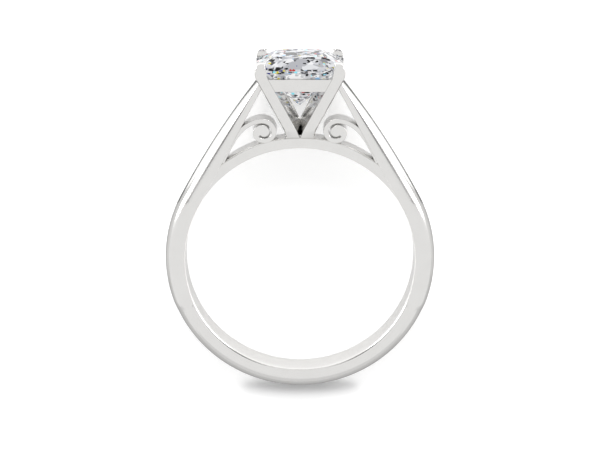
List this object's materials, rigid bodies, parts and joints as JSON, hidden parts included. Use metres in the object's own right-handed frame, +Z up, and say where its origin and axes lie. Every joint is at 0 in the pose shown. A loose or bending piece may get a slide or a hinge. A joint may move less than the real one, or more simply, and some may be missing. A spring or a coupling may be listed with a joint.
{
  "type": "cathedral setting ring",
  "caption": "Cathedral setting ring lying on its side: rising shoulders, scrolls and a pronged head with a gallery rail hold a square cushion-cut stone.",
  "frame": {"origin": "centre of the whole ring's bounding box in X and Y, on the surface it rests on", "axes": "+Y from the foot of the band towards the stone, +Z up and near the finger hole's axis, X across the band"},
  "size_m": [0.02, 0.0256, 0.0064],
  "materials": {
    "white_gold": "polished white gold",
    "diamond": "clear faceted gemstone"
  },
  "bodies": {
    "root": {"ring_mount": "white_gold", "stone": "diamond"}
  },
  "joints": []
}
